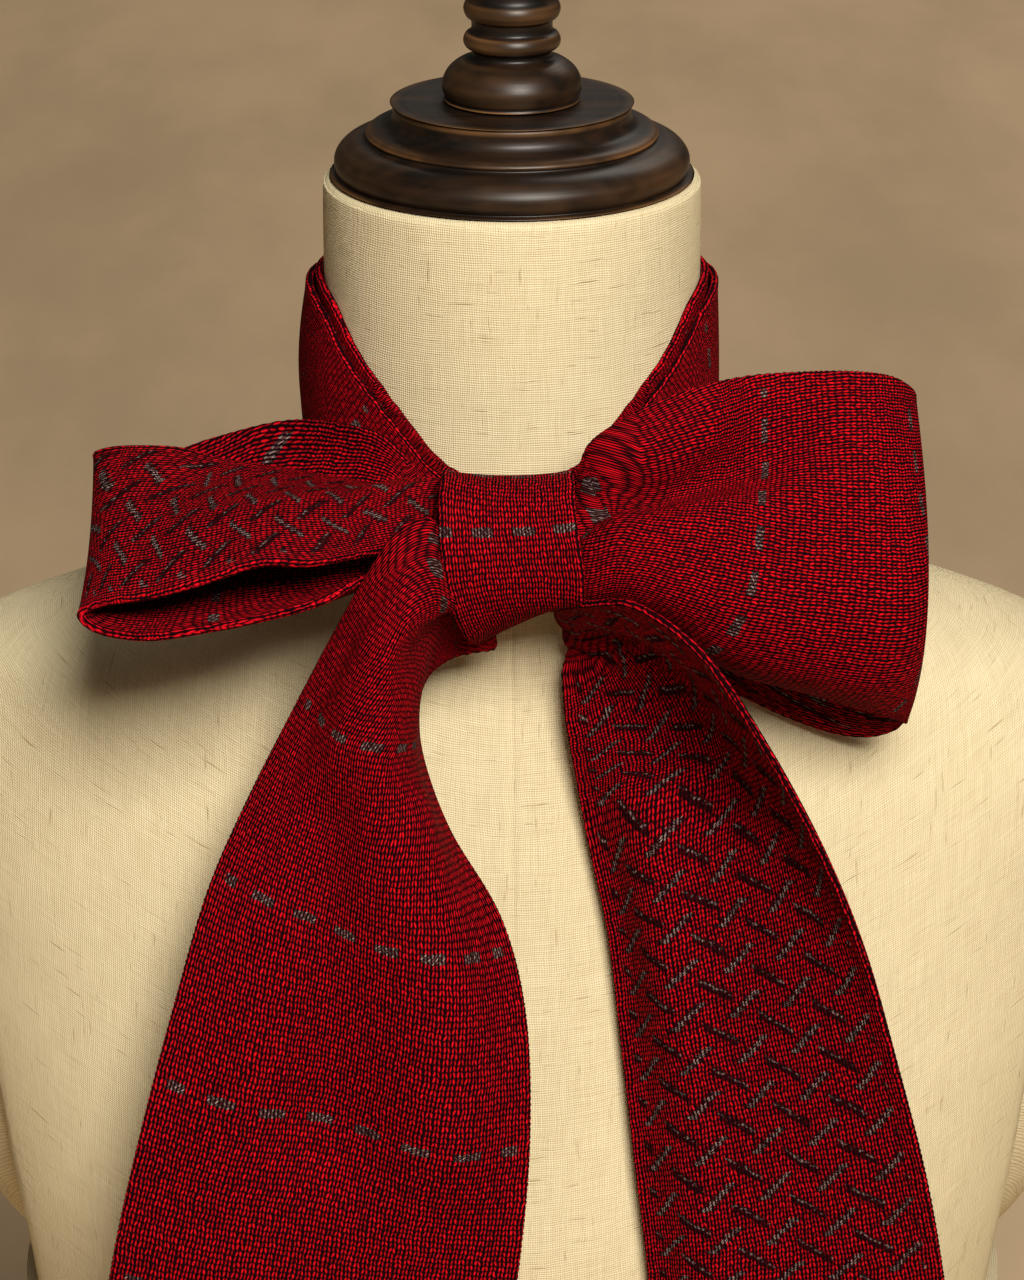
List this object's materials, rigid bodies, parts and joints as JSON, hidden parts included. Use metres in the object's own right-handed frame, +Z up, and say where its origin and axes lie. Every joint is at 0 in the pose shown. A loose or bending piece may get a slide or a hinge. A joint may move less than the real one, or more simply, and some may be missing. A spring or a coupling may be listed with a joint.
{
  "type": "knit scarf on a dress form",
  "caption": "Long double-knit scarf tied in a bow round the neck of a limbless linen dress form with a turned wooden neck cap.",
  "frame": {"origin": "centre of the dress form's flat base, under the middle of the neck", "axes": "+Z up, -Y to the front where the bow is, +X across the shoulders to the viewer's right"},
  "size_m": [0.3916, 0.2819, 0.783],
  "materials": {
    "linen": "warm cream plain-weave linen with slubs",
    "arm_linen": "cream linen on the bias",
    "dark_wood": "dark stained, satin varnish",
    "red_knit": "matt double knit, red and black birdseye"
  },
  "bodies": {
    "root": {"form_body": "linen", "arm_cap_left": "arm_linen", "arm_cap_right": "arm_linen", "cap_tiers": "dark_wood", "cap_finial": "dark_wood", "neck_band": "red_knit", "knot_core": "red_knit", "knot_wrap": "red_knit", "loop_left": "red_knit", "loop_right": "red_knit", "tail_left": "red_knit", "tail_right": "red_knit"}
  },
  "joints": []
}
